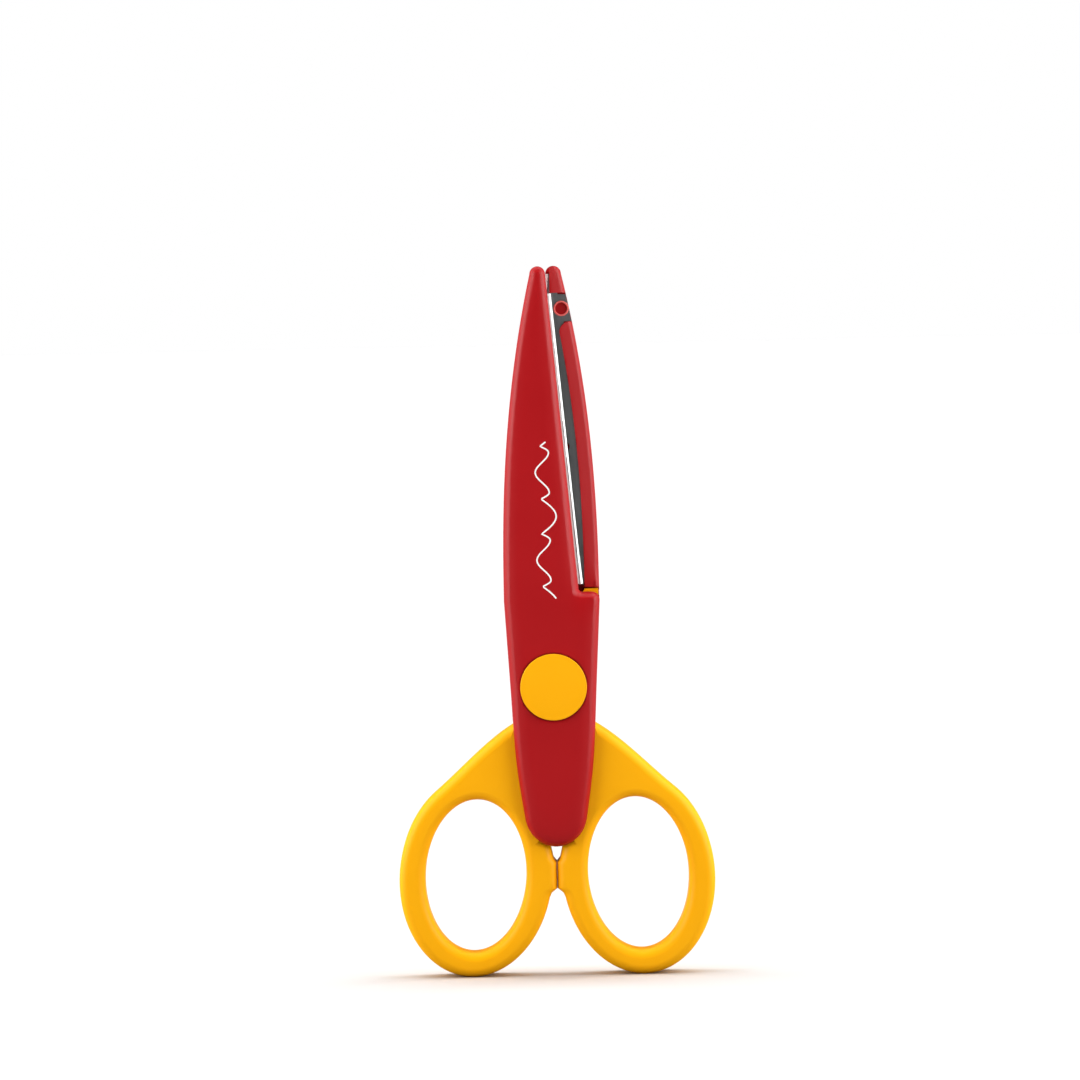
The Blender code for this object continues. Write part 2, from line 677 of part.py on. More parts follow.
def make_rivet(name, arm, material):
    """A tubular rivet: flat head in front, rolled end behind."""
    head_top = ISLAND_OUTER
    head_under = head_top - RIVET_HEAD_HEIGHT
    rolled_radius = RIVET_HEAD_RADIUS - GAP
    roll = BURR_OUTER - THIN_GAP
    profile = [
        (RIVET_BORE, head_top),
        (RIVET_HEAD_RADIUS - GAP, head_top),
        (RIVET_HEAD_RADIUS, head_top - GAP),
        (RIVET_HEAD_RADIUS, head_under),
        (RIVET_RADIUS, head_under),
        (RIVET_RADIUS, roll),
        (rolled_radius, roll - GAP / 2),
        (rolled_radius, roll - 2 * GAP),
        (RIVET_RADIUS, roll - 3 * GAP),
        (RIVET_BORE, roll - 5 * GAP / 2),
    ]
    return make_object(name, turned(profile), arm, material)


def make_washer(name, arm, material, outer_radius, inner, outer):
    hole = RIVET_RADIUS + RUNNING
    profile = [(hole, inner), (outer_radius, inner), (outer_radius, outer), (hole, outer)]
    return make_object(name, turned(profile), arm, material)


def make_wave_washer(name, arm, material, middle):
    """A sprung washer with three waves, which keeps the arms pressed together."""
    hole, outside = RIVET_RADIUS + RUNNING, RIVET_HEAD_RADIUS + GAP
    low, high = middle - WAVE_WASHER / 2, middle + WAVE_WASHER / 2
    mesh = turned([(hole, low), (outside, low), (outside, high), (hole, high)], steps=36)
    for vert in mesh.verts:
        vert.co.y += WAVE_WASHER_LIFT * math.sin(3 * math.atan2(vert.co.z, vert.co.x))
    return make_object(name, mesh, arm, material)


# ---------------------------------------------------------------- assembly


def make_arm_frame(name, turn):
    """An empty on the pivot axis that carries one arm."""
    frame = bpy.data.objects.new(name, None)
    bpy.context.scene.collection.objects.link(frame)
    frame.location = (0, 0, PIVOT_HEIGHT)
    frame.rotation_euler = (0, 0, turn)
    return frame


def make_arm(side_name, frame, side, materials):
    red, yellow, steel = materials
    make_body(f"{side_name}_body", frame, red)
    make_handle(f"{side_name}_handle", frame, yellow)
    make_blade(f"{side_name}_blade", frame, steel, side)
    for label, at, has_head in blade_pins():
        make_pin(f"{side_name}_{label}", frame, red, at, has_head)
    make_cap(f"{side_name}_pivot_cap", frame, yellow)


def main():
    clear_scene()
    red = make_material("red_plastic", (0.42, 0.012, 0.016), 0.42)
    yellow = make_material("yellow_plastic", (0.98, 0.43, 0.012), 0.38)
    steel = make_material("blade_steel", (0.30, 0.30, 0.31), 0.33, 1.0)
    zinc = make_material("zinc_plate", (0.62, 0.63, 0.65), 0.30, 1.0)
    nylon = make_material("nylon", (0.80, 0.79, 0.74), 0.50)

    front = make_arm_frame("front_arm", 0)
    rear = make_arm_frame("rear_arm", math.pi)
    make_arm("front", front, 1, (red, yellow, steel))
    make_arm("rear", rear, -1, (red, yellow, steel))

    make_rivet("pivot_rivet", front, zinc)
    half = THRUST_WASHER / 2
    make_washer("thrust_washer", front, nylon, WASHER_RADIUS, -half, half)
    make_wave_washer("wave_washer", front, zinc, WAVE_WASHER_MIDDLE)
    make_washer("burr_washer", front, zinc, RIVET_HEAD_RADIUS + GAP, BURR_INNER, BURR_OUTER)


main()
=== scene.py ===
import json
import math

import bpy
from mathutils import Matrix, Vector


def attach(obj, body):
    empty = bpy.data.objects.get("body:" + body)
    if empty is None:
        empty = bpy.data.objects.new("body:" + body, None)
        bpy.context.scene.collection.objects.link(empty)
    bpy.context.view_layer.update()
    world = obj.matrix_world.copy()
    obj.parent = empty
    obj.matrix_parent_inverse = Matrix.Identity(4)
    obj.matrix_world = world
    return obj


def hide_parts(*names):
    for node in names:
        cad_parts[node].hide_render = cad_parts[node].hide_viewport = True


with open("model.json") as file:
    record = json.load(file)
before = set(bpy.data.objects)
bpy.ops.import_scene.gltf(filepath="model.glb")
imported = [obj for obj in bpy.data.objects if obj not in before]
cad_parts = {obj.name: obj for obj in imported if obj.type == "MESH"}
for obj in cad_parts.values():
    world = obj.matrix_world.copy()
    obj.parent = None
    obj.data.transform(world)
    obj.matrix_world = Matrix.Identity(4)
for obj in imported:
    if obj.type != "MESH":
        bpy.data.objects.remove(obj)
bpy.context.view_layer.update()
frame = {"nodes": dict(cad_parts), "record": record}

# Sizes are in millimetres from the pivot axis, as on a drawing, and become metres where a
# primitive is added. x runs to the cutting side of the front arm, z to the tip, and depth from
# the plane where the arms meet out to the front face.
mm = 0.001
touch = 0.01  # spots nearer than this count as the same place
pivot = Vector(frame["record"]["behaviour"]["joints"][0]["pos_m"])
print("stage: frame loaded, pivot at", tuple(round(v, 5) for v in pivot))

blade = {
    "heel": 19.3, "end": 74.5, "top": 78.2,
    "edgeAtHeel": 6.0, "edgeAtTip": 0.95,
    "inner": 2.05, "outer": 2.65, "flange": 0.7, "fold": 0.85, "groundAndGlint": 1.15,
    "waveLength": 16.6, "waveHeight": 3.8, "shearGap": 0.3,
    "pinHole": 1.2,
}
cover = {
    "tip": 79.7, "tail": 30.6, "tipRadius": 1.5, "tailRound": 6.6, "tailHalf": 6.0,
    "shoulder": 17.8, "shoulderHalf": 9.1, "shoulderCorner": 1.5, "notchCorner": 0.7,
    "pivotHalf": 8.2, "waist": 14.0, "waistHalf": 7.4,
    "shownAtHeel": 1.0, "shownAtTip": 0.65, "spineCurve": 2.3,
    "inner": 0.4, "depth": 6.1, "round": 1.25, "dome": 1.0, "slope": 3.4, "thinner": 1.2,
    "column": 0.6, "row": 3, "cageMiddle": 24.5, "cageLength": 111,
    "wall": 1.3, "clear": 0.3, "rib": 2.8, "ribCorner": 2.0, "ribRound": 0.8, "ribFade": 3,
    "ribLean": 1.0, "ribBottom": 18.5, "windowBottom": 69.1, "windowTop": 74.6, "tipBlock": 0.75,
    "pocketBottom": -6.5, "coreBottom": -9,
}


def nothingSelected():
    if bpy.context.object and bpy.context.object.mode != "OBJECT":
        bpy.ops.object.mode_set(mode="OBJECT")
    bpy.ops.object.select_all(action="DESELECT")


def onlySelected(piece):
    nothingSelected()
    piece.select_set(True)
    bpy.context.view_layer.objects.active = piece


def settle(piece):  # puts the place, turn and scale into the mesh
    onlySelected(piece)
    bpy.ops.object.transform_apply(location=True, rotation=True, scale=True)


def pick(piece, kind, test):  # selects faces or edges by the places of their corners
    onlySelected(piece)
    bpy.ops.object.mode_set(mode="EDIT")
    bpy.ops.mesh.select_mode(type=kind)
    bpy.ops.mesh.select_all(action="DESELECT")
    bpy.ops.object.mode_set(mode="OBJECT")
    spots = [v.co / mm for v in piece.data.vertices]
    for item in piece.data.edges if kind == "EDGE" else piece.data.polygons:
        item.select = test([spots[i] for i in item.vertices])
    bpy.ops.object.mode_set(mode="EDIT")


def stroke(spots):  # a line of edges: one point, pulled on from spot to spot
    bpy.ops.mesh.primitive_plane_add(size=mm, location=Vector(spots[0]) * mm)
    if bpy.context.mode == "OBJECT":
        bpy.ops.object.mode_set(mode="EDIT")
        bpy.ops.mesh.select_mode(type="VERT")
    bpy.ops.mesh.merge(type="CENTER")
    for here, there in zip(spots, spots[1:]):
        step = (Vector(there) - Vector(here)) * mm
        bpy.ops.mesh.extrude_region_move(TRANSFORM_OT_translate={"value": step})


def thicken(inner, outer):  # pulls the faces forward, from one depth to another
    bpy.ops.mesh.extrude_region_move(TRANSFORM_OT_translate={"value": (0, (inner - outer) * mm, 0)})
    bpy.ops.mesh.select_all(action="SELECT")
    bpy.ops.mesh.normals_make_consistent(inside=False)


def drawPlate(name, corners, inner, outer):  # an outline, filled and thickened
    nothingSelected()
    stroke([(x, -inner, z) for x, z in corners])
    piece = bpy.context.object
    piece.name = name
    bpy.ops.mesh.select_all(action="SELECT")
    bpy.ops.mesh.edge_face_add()
    thicken(inner, outer)
    settle(piece)
    return piece


def drawRing(name, outside, hole, inner, outer):  # two closed outlines, bridged and thickened
    nothingSelected()
    stroke([(x, -inner, z) for x, z in outside + outside[:1]])
    piece = bpy.context.object
    piece.name = name
    stroke([(x, -inner, z) for x, z in hole + hole[:1]])
    bpy.ops.mesh.select_all(action="SELECT")
    bpy.ops.mesh.remove_doubles(threshold=touch * mm)
    bpy.ops.mesh.bridge_edge_loops()
    bpy.ops.mesh.select_all(action="SELECT")
    thicken(inner, outer)
    settle(piece)
    return piece


def turn(name, profile, at=(0, 0), steps=96):  # a (radius, depth) profile from axis to axis, spun
    nothingSelected()
    stroke([(r, -depth, 0) for r, depth in profile])
    piece = bpy.context.object
    piece.name = name
    bpy.ops.mesh.select_all(action="SELECT")
    bpy.ops.mesh.spin(steps=steps, angle=2 * math.pi, center=(0, 0, 0), axis=(0, 1, 0))
    bpy.ops.mesh.select_all(action="SELECT")
    bpy.ops.mesh.remove_doubles(threshold=0.002 * mm)
    bpy.ops.mesh.delete_loose()
    bpy.ops.mesh.select_all(action="SELECT")
    bpy.ops.mesh.normals_make_consistent(inside=False)
    settle(piece)
    piece.location = (at[0] * mm, 0, at[1] * mm)
    settle(piece)
    return piece


def bar(name, radius, inner, outer, at=(0, 0), steps=48):
    return turn(name, [(0, inner), (radius, inner), (radius, outer), (0, outer)], at, steps)


def sliceMesh(place, way):  # new edges where a plane passes, with both sides kept
    bpy.ops.mesh.select_all(action="SELECT")
    bpy.ops.mesh.bisect(plane_co=place, plane_no=way)


def applyAll(piece):
    onlySelected(piece)
    for modifier in list(piece.modifiers):
        bpy.ops.object.modifier_apply(modifier=modifier.name)


def combine(piece, other, operation):  # joins or carves with another solid, which is used up
    modifier = piece.modifiers.new("combine", "BOOLEAN")
    modifier.operation = operation
    modifier.solver = "EXACT"
    modifier.object = other
    applyAll(piece)
    bpy.data.objects.remove(other)


def tidyMesh(piece, distance=0.004):  # merges what a cut leaves lying almost together
    onlySelected(piece)
    bpy.ops.object.mode_set(mode="EDIT")
    bpy.ops.mesh.select_all(action="SELECT")
    bpy.ops.mesh.remove_doubles(threshold=distance * mm)
    bpy.ops.mesh.dissolve_degenerate(threshold=0.001 * mm)
    bpy.ops.object.mode_set(mode="OBJECT")


def softenEdges(piece, width, angle=40, segments=2):
    bevel = piece.modifiers.new("soften", "BEVEL")
    bevel.width = width * mm
    bevel.segments = segments
    bevel.limit_method = "ANGLE"
    bevel.angle_limit = math.radians(angle)
    applyAll(piece)


def smoothFaces(piece, angle=32):  # smooth shading that follows the larger faces
    onlySelected(piece)
    bpy.ops.object.shade_smooth_by_angle(angle=math.radians(angle))
    weighted = piece.modifiers.new("weighted", "WEIGHTED_NORMAL")
    weighted.keep_sharp = True
    weighted.weight = 80
    applyAll(piece)


def arc(centre, radius, start, end, steps):  # round, or oval where the radius is a pair
    rx, rz = radius if isinstance(radius, tuple) else (radius, radius)
    turns = [math.radians(start + (end - start) * k / steps) for k in range(steps + 1)]
    return [(centre[0] + rx * math.cos(a), centre[1] + rz * math.sin(a)) for a in turns]


def smoothLine(points, steps=6):  # a Catmull-Rom curve through the points
    padded = [points[0], *points, points[-1]]
    line = []
    for a, b, c, d in zip(padded, padded[1:], padded[2:], padded[3:]):
        for k in range(steps):
            t = k / steps
            line.append(tuple(
                0.5 * (2 * b[i] + (c[i] - a[i]) * t
                       + (2 * a[i] - 5 * b[i] + 4 * c[i] - d[i]) * t**2
                       + (3 * b[i] - a[i] - 3 * c[i] + d[i]) * t**3)
                for i in (0, 1)
            ))
    return [*line, points[-1]]


def mirrored(points):
    return [(-x, z) for x, z in reversed(points)]


def edgeX(z):  # the cutting edge, straight from heel to tip
    t = (z - blade["heel"]) / (blade["end"] - blade["heel"])
    return blade["edgeAtHeel"] + (blade["edgeAtTip"] - blade["edgeAtHeel"]) * t


def coverEdgeX(z):  # the cover's edge, which leaves a strip of the blade showing
    t = (z - blade["heel"]) / (blade["end"] - blade["heel"])
    return edgeX(z) - cover["shownAtHeel"] - (cover["shownAtTip"] - cover["shownAtHeel"]) * t


def spineX(z):  # how far the curved back is from the middle line
    tipCentre = cover["tip"] - cover["tipRadius"]
    atTip = 2 * cover["tipRadius"] - coverEdgeX(tipCentre)
    t = max(0, (z - cover["shoulder"]) / (tipCentre - cover["shoulder"]))
    return cover["shoulderHalf"] - (cover["shoulderHalf"] - atTip) * t ** cover["spineCurve"]


def spine(bottom, top, inset=0.0, steps=30):
    return [(inset - spineX(bottom + (top - bottom) * k / steps), bottom + (top - bottom) * k / steps)
            for k in range(steps + 1)]


def lowerSide():  # the right side, from the middle of the tail up to the shoulder
    tailTop = cover["tailRound"] - cover["tail"]
    tail = arc((0, tailTop), (cover["tailHalf"], cover["tailRound"]), -90, -12, 16)
    above = [(cover["waistHalf"], -cover["waist"]), (cover["pivotHalf"], 0),
             (cover["shoulderHalf"], cover["shoulder"] - cover["shoulderCorner"])]
    return tail[:-2] + smoothLine(tail[-2:] + above, 8)[8:]


def halfWidth(z):  # of the cover, below the shoulder
    side = lowerSide()
    for (x0, z0), (x1, z1) in zip(side, side[1:]):
        if z0 <= z <= z1:
            return x0 + (x1 - x0) * (z - z0) / (z1 - z0)
    return side[-1][0]


def wave(distance):  # one large hump, then on both sides a notch, a small peak and a hollow
    half = blade["waveLength"] / 2
    u = abs((distance + half) % blade["waveLength"] - half) / half
    low, notch, peak, high = -0.5, -0.24, 0.18, 0.5
    notchAt, peakAt = 0.40, 0.54  # as shares of half a wave
    if u < notchAt:
        y = notch + (high - notch) * math.cos(math.pi / 2 * u / notchAt)
    elif u < peakAt:
        y = notch + (peak - notch) * math.sin(math.pi / 2 * (u - notchAt) / (peakAt - notchAt))
    else:
        y = (peak + low) / 2 + (peak - low) / 2 * math.cos(math.pi * (u - peakAt) / (1 - peakAt))
    return blade["waveHeight"] * y


def coverOutline():  # from the tail up the right side, round the tip and down the left side
    right = lowerSide()
    corner, notch, tipRadius = cover["shoulderCorner"], cover["notchCorner"], cover["tipRadius"]
    shoulder = arc((right[-1][0] - corner, cover["shoulder"] - corner), corner, 0, 90, 8)[1:]
    inside = arc((coverEdgeX(cover["shoulder"]) + notch, cover["shoulder"] + notch), notch, 270, 180, 6)
    tipZ = cover["tip"] - tipRadius
    tip = arc((coverEdgeX(tipZ) - tipRadius, tipZ), tipRadius, 0, 180, 16)
    back = list(reversed(spine(cover["shoulder"], tipZ, steps=36)))[1:]
    left = mirrored(right)[:-1]
    return right + shoulder + inside + tip + back + left


def coverBlank():  # the outside of the cover, still solid
    face = cover["depth"] - cover["dome"]
    piece = drawPlate("frontCover", coverOutline(), cover["inner"], face)
    # the front rim, rounded
    pick(piece, "EDGE", lambda ends: all(p.y < touch - face for p in ends))
    bpy.ops.mesh.bevel(offset=cover["round"] * mm, segments=7, profile=0.5)
    # the back of the spine, which shows as the rib's outer edge
    spineStart, besideEdge = cover["ribBottom"] - 1.5, 1.6
    pick(piece, "EDGE", lambda ends: all(
        p.y > -cover["inner"] - touch and p.z > spineStart and p.x < coverEdgeX(p.z) - besideEdge
        for p in ends))
    bpy.ops.mesh.bevel(offset=cover["ribRound"] * mm, segments=5, profile=0.5)
    # columns and rows, so that the face can be domed
    for k in range(-14, 15):
        sliceMesh((k * cover["column"] * mm, 0, 0), (1, 0, 0))
    for k in range(36):
        sliceMesh((0, 0, (k * cover["row"] - 28) * mm), (0, 0, 1))
    domeFace(piece, face)
    leanRib(piece)
    thinTip(piece)
    return piece


def fromOutline(x, z, outline):  # the distance to the nearest side of an outline
    nearest = math.inf
    for (x0, z0), (x1, z1) in zip(outline, outline[1:] + outline[:1]):
        dx, dz = x1 - x0, z1 - z0
        square = dx * dx + dz * dz + 1e-9  # the little more keeps a side of no length harmless
        t = min(1, max(0, ((x - x0) * dx + (z - z0) * dz) / square))
        nearest = min(nearest, math.hypot(x - x0 - dx * t, z - z0 - dz * t))
    return nearest


def pushForward(piece, amount, share):  # each point moves by its share of the amount
    bpy.ops.object.mode_set(mode="OBJECT")
    group = piece.vertex_groups.new(name="share")
    for spot in piece.data.vertices:
        group.add([spot.index], share(*(spot.co / mm)), "REPLACE")
    push = piece.modifiers.new("push", "DISPLACE")
    push.direction = "Y"
    push.vertex_group = group.name
    push.mid_level = 0
    push.strength = -amount * mm
    applyAll(piece)
    piece.vertex_groups.clear()


def domeFace(piece, face):  # round near the rim, flat in the middle
    outline = coverOutline()

    def share(x, y, z):
        if y > cover["round"] - face + touch:
            return 0
        t = min(1, fromOutline(x, z, outline) / cover["slope"])
        return t * (2 - t)

    pushForward(piece, cover["dome"], share)


def leanRib(piece):  # the back falls away a little towards the spine
    behind = -cover["inner"] - cover["ribRound"] - 5 * touch

    def share(x, y, z):
        if y < behind:
            return 0
        across = 1 - (x + spineX(z)) / cover["rib"]
        return min(1, max(0, across)) * min(1, max(0, (z - cover["ribBottom"]) / cover["ribFade"]))

    pushForward(piece, cover["ribLean"], share)


def thinTip(piece):  # a lattice brings the face down towards the tip
    nothingSelected()
    low = blade["outer"] + cover["clear"]
    middle, length = cover["cageMiddle"], cover["cageLength"]
    start = cover["shoulder"] - cover["shoulderCorner"]
    bpy.ops.object.add(type="LATTICE", location=(0, -(low + cover["depth"]) / 2 * mm, middle * mm))
    cage = bpy.context.object
    cage.scale = (20 * mm, (cover["depth"] - low) * mm, length * mm)
    cage.data.points_u, cage.data.points_v, cage.data.points_w = 2, 2, 9
    for name in ("u", "v", "w"):
        setattr(cage.data, f"interpolation_type_{name}", "KEY_LINEAR")
    for point in cage.data.points:
        if point.co.y < 0:  # the front layer
            rise = max(0, (middle + point.co.z * length - start) / (cover["tip"] - start))
            point.co_deform.y += cover["thinner"] * rise / (cover["depth"] - low)
    modifier = piece.modifiers.new("thinner", "LATTICE")
    modifier.object = cage
    applyAll(piece)
    bpy.data.objects.remove(cage)


def ribSide(bottom, top):  # the rib's inner side, rounded off at the window
    line = spine(bottom, top - cover["ribCorner"], cover["rib"])
    x, z = line[-1]
    return line + arc((x - cover["ribCorner"], z), cover["ribCorner"], 0, 90, 8)[1:]


def islandOutline(grow=0.0):  # the thick middle of the hub, or the cover's pocket for it
    inset = cover["wall"] + cover["clear"] - grow
    top, bottom = cover["shoulder"] - inset, cover["pocketBottom"] + inset
    side = [(halfWidth(bottom + (top - bottom) * k / 8) - inset, bottom + (top - bottom) * k / 8)
            for k in range(9)]
    return side + mirrored(side)


def rectangle(x, low, high):
    return [(-x, low), (x, low), (x, high), (-x, high)]


def makeCover():
    piece = coverBlank()
    far, below, above, behind, ahead = 18, -33, 82, -2, 8  # past each side of the cover
    bottom, top, clear = cover["windowBottom"], cover["windowTop"], cover["clear"]
    ribBottom, slotTop, block = cover["ribBottom"], blade["top"] + clear, cover["tipBlock"]

    def carve(name, outline, depth, start=behind):
        combine(piece, drawPlate(name, outline, start, depth), "DIFFERENCE")

    carve("tailRelief", rectangle(far, below, cover["pocketBottom"]), loop["thick"] / 2 + clear)
    carve("coreRelief", rectangle(far, cover["coreBottom"], ribBottom), hub["core"][1] + clear)
    carve("corePocket", islandOutline(clear), hub["island"][1] + clear)
    openSide = ribSide(ribBottom - 2, bottom) + [
        (-far, bottom), (-far, top), (-block, top), (-block, above), (far, above), (far, ribBottom - 2)]
    carve("bladeRelief", openSide, blade["inner"] - clear / 2)
    slot = (spine(ribBottom - clear, bottom - clear, cover["wall"]) + [(-far, bottom - clear), (-far, top)]
            + spine(top, slotTop, cover["wall"], 6) + [(far, slotTop), (far, ribBottom - clear)])
    carve("bladeSlot", slot, blade["outer"] + clear, blade["inner"] - clear)
    recess = bar("capRecess", cap["radius"] + clear, cover["depth"] - clear, ahead, steps=96)
    combine(piece, recess, "DIFFERENCE")
    combine(piece, bar("rivetOpening", hub["counterbore"] + clear, behind, ahead), "DIFFERENCE")
    tidyMesh(piece, 0.03)
    softenEdges(piece, 0.12, 50)
    smoothFaces(piece)
    return piece


loop = {
    "holeWidth": 19.2, "holeHeight": 29.3, "holeSplay": 3.35, "x": 15.5, "drop": 36.1,
    "width": 29.1, "height": 38.57, "splay": 5.7, "thick": 7.6, "round": 1.75,
    "cornerTop": -7.2, "bow": 0.55, "tucked": 0.3, "steps": 144,
    "stop": [(1.4, -30.35), (1.14, -30.6), (0.62, -33.0), (0.01, -33.75), (0.01, -38.7), (1.1, -39.6)],
}


def loopOutlines():  # the loop's outline and its hole, point for point on rays from the hole's middle
    hole = Vector((loop["holeWidth"] / 2, loop["holeHeight"] / 2))
    outside = Vector((loop["width"] / 2, loop["height"] / 2))
    middle = Vector((loop["x"], -loop["drop"]))
    splay = Matrix.Rotation(math.radians(loop["splay"]), 2)
    holeSplay = Matrix.Rotation(math.radians(loop["holeSplay"]), 2)

    def asCircle(spot):  # where the loop's own outline is a circle of radius one
        x, z = splay.inverted() @ (Vector(spot) - middle)
        return Vector((x / outside.x, z / outside.y))

    def bearing(spot):
        return math.atan2(spot.y, spot.x) % math.tau

    tailRound, tailLow = cover["tailRound"] - cover["tail"], cover["tailRound"] / 3 - cover["tail"]
    heights = [loop["cornerTop"], loop["cornerTop"] - 0.2, -10.8, -cover["waist"],
               (tailRound - cover["waist"]) / 2, tailRound, tailLow]
    web = [asCircle(p) for p in [(halfWidth(z) - loop["tucked"], z) for z in heights] + loop["stop"]]
    # the bearings at which a line from the top corner touches the loop, and the stop runs into it
    starts = bearing(web[0]) - math.acos(1 / web[0].length)
    ends = bearing(web[-1]) + 0.05
    start, corner = Vector((math.cos(starts), math.sin(starts))), web[0]
    bow = loop["bow"] / outside.y * 27 / 4  # because t * t * (1 - t) rises to 4 / 27
    bowed = [start.lerp(corner, t) + start * bow * t * t * (1 - t) for t in [k / 12 for k in range(12)]]
    web = bowed + web + [Vector((math.cos(ends), math.sin(ends)))]

    def reach(way):  # how far the outline is on a ray: one, or more where the web stands out
        slack = 1e-6
        for one, two in zip(web, web[1:]):
            if bearing(one) - slack <= bearing(way) <= bearing(two) + slack:
                return one.cross(two) / way.cross(two - one)
        return 1.0

    apart = 0.015  # even turns leave this much beside a corner, in radians
    corners = [bearing(spot) for spot in web]
    even = [math.tau * k / loop["steps"] for k in range(loop["steps"])]
    turns = sorted(corners + [t for t in even if all(abs(t - c) > apart for c in corners)])
    outline, inside = [], []
    for t in turns:
        way = Vector((math.cos(t), math.sin(t)))
        far = way * reach(way)
        outline.append(tuple(middle + splay @ Vector((far.x * outside.x, far.y * outside.y))))
        inside.append(tuple(middle + holeSplay @ Vector((way.x * hole.x, way.y * hole.y))))
    return outline, inside


hub = {  # the part of the handle inside the cover, each layer from its inner to its outer depth
    "tang": (0.55, 3.65), "island": (0.7, 4.2), "core": (0.4, 2.0), "tangTop": -6.8,
    "cornerWide": 1.5, "cornerHigh": 1.3, "bore": 2.1, "counterbore": 3.6, "counterboreFloor": 2.9,
}


def makeHandle():
    half = loop["thick"] / 2
    piece = drawRing("frontHandle", *loopOutlines(), -half, half)
    rim = (loop["width"] - loop["holeWidth"]) / 2

    def inHole(p):
        x = (p.x - loop["x"]) / (loop["holeWidth"] + rim)
        z = (p.z + loop["drop"]) / (loop["holeHeight"] + rim)
        return math.hypot(x, z) < 0.5

    def onRim(ends):  # an edge of the front or back face, but not where the cover's tail lies
        flat = abs(abs(ends[0].y) - half) < touch and abs(ends[0].y - ends[1].y) < touch
        between = (ends[0] + ends[1]) / 2
        besideTail = between.z > 1 - cover["tail"] and between.x < halfWidth(between.z)
        return flat and inHole(ends[0]) == inHole(ends[1]) and not besideTail

    pick(piece, "EDGE", onRim)
    bpy.ops.mesh.bevel(offset=loop["round"] * mm, segments=8, profile=0.5)
    bpy.ops.object.mode_set(mode="OBJECT")
    tidyMesh(piece)

    tangTop = hub["tangTop"]
    innerX = halfWidth(tangTop) - cover["wall"]
    tang = [(innerX, tangTop),
            (loop["x"] - loop["holeWidth"] / 4, loop["holeHeight"] / 2 + rim - loop["drop"]),
            (loop["x"] - loop["holeWidth"] * 0.42, loop["holeHeight"] * 0.42 - loop["drop"]),
            (4.9, 2.0 - cover["tail"]), (3.2, 1.7 - cover["tail"]), (1.5, 3.1 - cover["tail"]),
            (-innerX * 0.45, -cover["waist"] - rim), (-innerX, tangTop)]
    combine(piece, drawPlate("tang", tang, *hub["tang"]), "UNION")
    combine(piece, drawPlate("island", islandOutline(), *hub["island"]), "UNION")
    heights = [-7.4, 0, 8, cover["shoulder"] - cover["shoulderCorner"]]
    right = [(halfWidth(z) - 0.2, z) for z in heights]
    x, z = right[-1]
    wide, high, underRib = hub["cornerWide"], hub["cornerHigh"], cover["ribBottom"] - cover["clear"]
    corner = arc((x - wide, z), (wide, high), 0, 90, 8)[1:]
    top = [(-blade["edgeAtHeel"], corner[-1][1]), (-blade["edgeAtHeel"] - cover["clear"], underRib)]
    left = [(-x, underRib)] + mirrored(right)
    combine(piece, drawPlate("core", right + corner + top + left, *hub["core"]), "UNION")
    behind, ahead = -5, 7  # past both faces
    combine(piece, bar("bore", hub["bore"], behind, ahead), "DIFFERENCE")
    counterbore = bar("counterbore", hub["counterbore"], hub["counterboreFloor"], ahead)
    combine(piece, counterbore, "DIFFERENCE")
    smoothFaces(piece)
    return piece


def bladePins():  # where the three pins hold the front blade
    tipZ = cover["windowBottom"] + (cover["windowTop"] - cover["windowBottom"]) * 0.45
    span = cover["windowBottom"] - blade["heel"]
    return {"tip": (-(spineX(tipZ) + blade["edgeAtTip"]) / 2 - 0.2, tipZ),
            "middle": (-cover["rib"], blade["heel"] + span * 0.52),
            "heel": (-cover["rib"], blade["heel"] + span * 0.12)}


